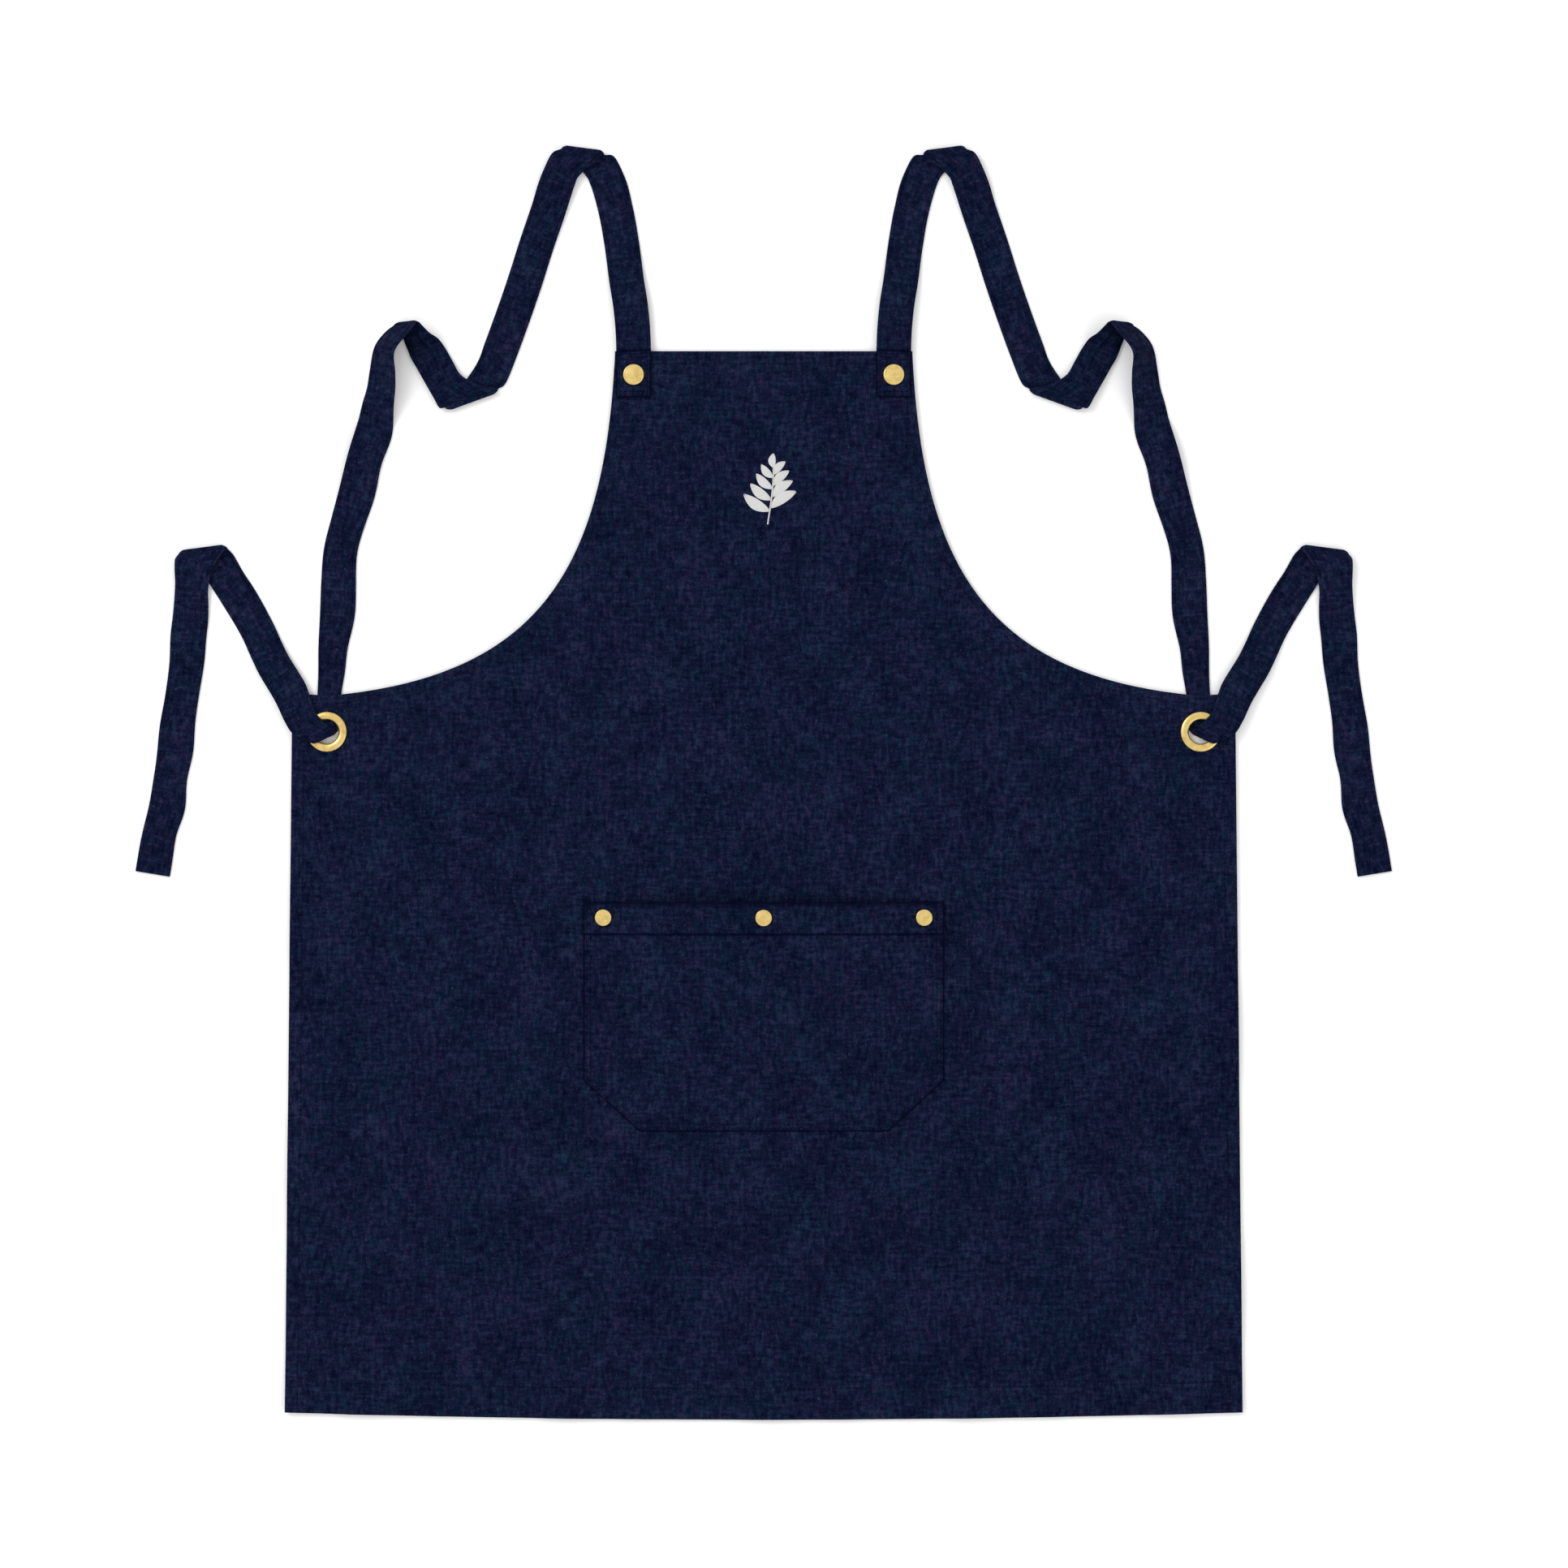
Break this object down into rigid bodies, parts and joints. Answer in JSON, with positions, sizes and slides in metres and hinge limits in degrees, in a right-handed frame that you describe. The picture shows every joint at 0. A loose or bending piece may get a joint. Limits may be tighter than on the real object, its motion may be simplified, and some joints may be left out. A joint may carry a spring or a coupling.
{
  "type": "bib apron",
  "caption": "Bib apron in dark denim with eyelets at the waist, a riveted front pocket and straps that run from the bib through the eyelets as ties, laid flat.",
  "frame": {"origin": "on the table under the middle of the apron's whole box, loops and ties included", "axes": "+X to the wearer's left, +Y up the body towards the bib, +Z out of the front face"},
  "size_m": [0.941, 0.9542, 0.0232],
  "materials": {
    "denim": "dark indigo denim, matt, fine slubs",
    "strap_denim": "dark indigo denim, folded and sewn",
    "facing_tape": "dark navy bias tape",
    "brass": "satin, slightly yellow"
  },
  "bodies": {
    "apron_cloth": {"body_panel": "denim", "left_armhole_facing": "facing_tape", "left_eyelet": "brass", "left_eyelet_washer": "brass", "left_strap_stud": "brass", "left_strap_stud_back": "brass", "left_strap_tab": "strap_denim", "left_strap_through_eyelet": "strap_denim", "pocket": "denim", "pocket_mouth_band": "denim", "pocket_rivet_burr_centre": "brass", "pocket_rivet_burr_left": "brass", "pocket_rivet_burr_right": "brass", "pocket_rivet_centre": "brass", "pocket_rivet_left": "brass", "pocket_rivet_right": "brass", "right_armhole_facing": "facing_tape", "right_eyelet": "brass", "right_eyelet_washer": "brass", "right_strap_stud": "brass", "right_strap_stud_back": "brass", "right_strap_tab": "strap_denim", "right_strap_through_eyelet": "strap_denim"},
    "left_loop": {"left_shoulder_strap": "strap_denim"},
    "left_tie_leg": {"left_tie": "strap_denim"},
    "left_tie_tail": {"left_tie_end": "strap_denim"},
    "right_loop": {"right_shoulder_strap": "strap_denim"},
    "right_tie_leg": {"right_tie": "strap_denim"},
    "right_tie_tail": {"right_tie_end": "strap_denim"}
  },
  "joints": [
    {"name": "left_shoulder_lift", "type": "hinge", "parent": "apron_cloth", "child": "left_loop", "pos_m": [-0.3249, 0.08046, 0.0016], "axis": [0.6586, 0.7524, 0.0113], "range_deg": [0, 110]},
    {"name": "left_tie_swing", "type": "hinge", "parent": "apron_cloth", "child": "left_tie_leg", "pos_m": [-0.327, 0.03786, 0], "axis": [0, 0, 1], "range_deg": [-10, 25]},
    {"name": "left_tie_unfold", "type": "hinge", "parent": "left_tie_leg", "child": "left_tie_tail", "pos_m": [-0.41971, 0.17308, 0.003], "axis": [-0.9914, -0.1305, 0], "range_deg": [0, 170]},
    {"name": "right_shoulder_lift", "type": "hinge", "parent": "apron_cloth", "child": "right_loop", "pos_m": [0.3249, 0.08046, 0.0016], "axis": [0.6586, -0.7524, -0.0113], "range_deg": [0, 110]},
    {"name": "right_tie_swing", "type": "hinge", "parent": "apron_cloth", "child": "right_tie_leg", "pos_m": [0.327, 0.03786, 0], "axis": [0, 0, -1], "range_deg": [-10, 25]},
    {"name": "right_tie_unfold", "type": "hinge", "parent": "right_tie_leg", "child": "right_tie_tail", "pos_m": [0.41971, 0.17308, 0.003], "axis": [-0.9914, 0.1305, 0], "range_deg": [0, 170]}
  ]
}
